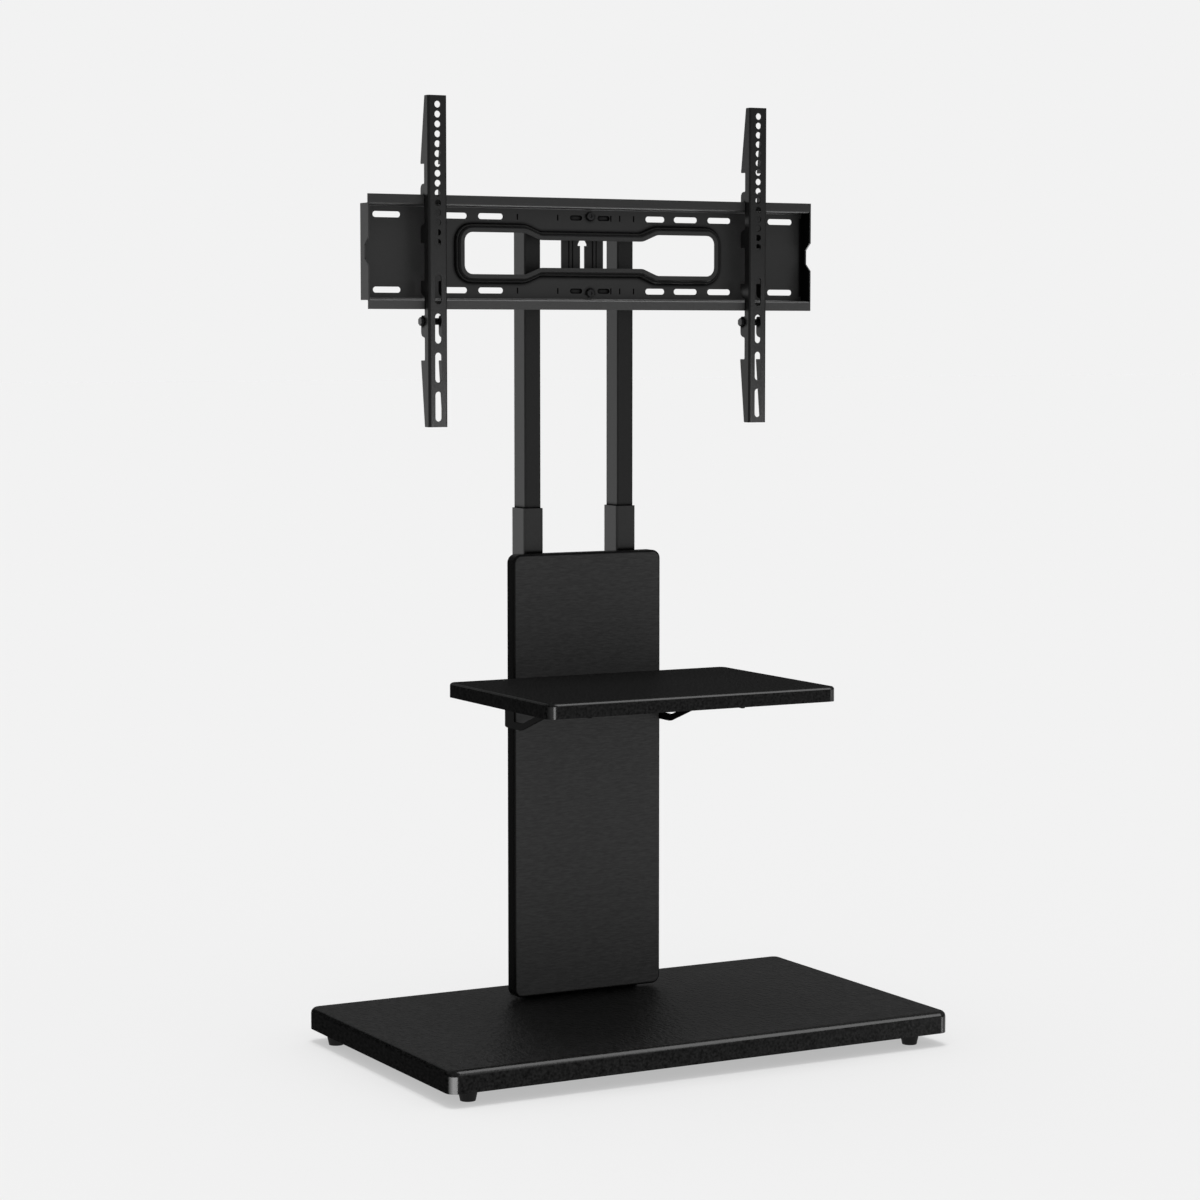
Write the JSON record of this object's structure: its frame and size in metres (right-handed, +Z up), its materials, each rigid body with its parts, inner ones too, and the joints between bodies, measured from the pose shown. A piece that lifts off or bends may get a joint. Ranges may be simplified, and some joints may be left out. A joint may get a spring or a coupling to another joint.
{
  "type": "floor tv stand with swivel mount",
  "caption": "Black floor stand: wide base board, front panel with a shelf, twin telescopic posts and a swivelling slotted plate with two hook-on arms that carry a flat screen.",
  "frame": {"origin": "centre of the base board's outline on the floor", "axes": "+X to the right of someone facing the shelf, +Y to the back, +Z up; drawn in the picture's pose with the swivel straight"},
  "size_m": [0.76, 0.45, 1.2883],
  "materials": {
    "black_steel": "satin powder coat",
    "black_board": "black textured film over particle board",
    "foot_rubber": "matte",
    "black_plastic": "matte",
    "black_fasteners": "black zinc, satin"
  },
  "bodies": {
    "stand": {"base_board": "black_board", "foot_front_left": "foot_rubber", "foot_front_right": "foot_rubber", "foot_back_left": "foot_rubber", "foot_back_right": "foot_rubber", "foot_screws": "black_fasteners", "foot_plate": "black_steel", "base_bolts": "black_fasteners", "base_washers": "black_fasteners", "outer_post_left": "black_steel", "outer_post_right": "black_steel", "brace_lower": "black_steel", "brace_shelf": "black_steel", "brace_upper": "black_steel", "height_lock_nuts": "black_steel", "height_lock_bolts": "black_fasteners", "front_panel": "black_board", "panel_spacers": "black_plastic", "panel_bolts": "black_fasteners", "shelf_board": "black_board", "shelf_bracket_left": "black_steel", "shelf_bracket_right": "black_steel", "shelf_bracket_bolts": "black_fasteners", "shelf_screws": "black_fasteners"},
    "carriage": {"inner_post_left": "black_steel", "inner_post_right": "black_steel", "post_cap_left": "black_plastic", "post_cap_right": "black_plastic", "crossbar_upper": "black_steel", "crossbar_lower": "black_steel", "swivel_bracket": "black_steel", "pivot_washers": "black_plastic", "pivot_nuts": "black_fasteners", "pivot_pin_upper": "black_fasteners", "pivot_pin_lower": "black_fasteners"},
    "head": {"mount_plate": "black_steel", "swivel_lug_upper": "black_steel", "swivel_lug_lower": "black_steel", "lug_bolts": "black_fasteners", "lug_nuts": "black_fasteners"},
    "left_arm": {"arm_left": "black_steel", "safety_bolt_left": "black_fasteners", "safety_spacer_left": "black_fasteners", "safety_nut_left": "black_fasteners"},
    "right_arm": {"arm_right": "black_steel", "safety_bolt_right": "black_fasteners", "safety_spacer_right": "black_fasteners", "safety_nut_right": "black_fasteners"}
  },
  "joints": [
    {"name": "height_slide", "type": "slide", "parent": "stand", "child": "carriage", "axis": [0, 0, 1], "range_m": [-0.15, 0.05]},
    {"name": "head_swivel", "type": "hinge", "parent": "carriage", "child": "head", "pos_m": [0, 0.121, 1.0815], "axis": [0, 0, 1], "range_deg": [-15, 15]},
    {"name": "left_arm_slide", "type": "slide", "parent": "head", "child": "left_arm", "axis": [1, 0, 0], "range_m": [-0.07, 0.15]},
    {"name": "right_arm_slide", "type": "slide", "parent": "head", "child": "right_arm", "axis": [1, 0, 0], "range_m": [-0.15, 0.07]}
  ]
}
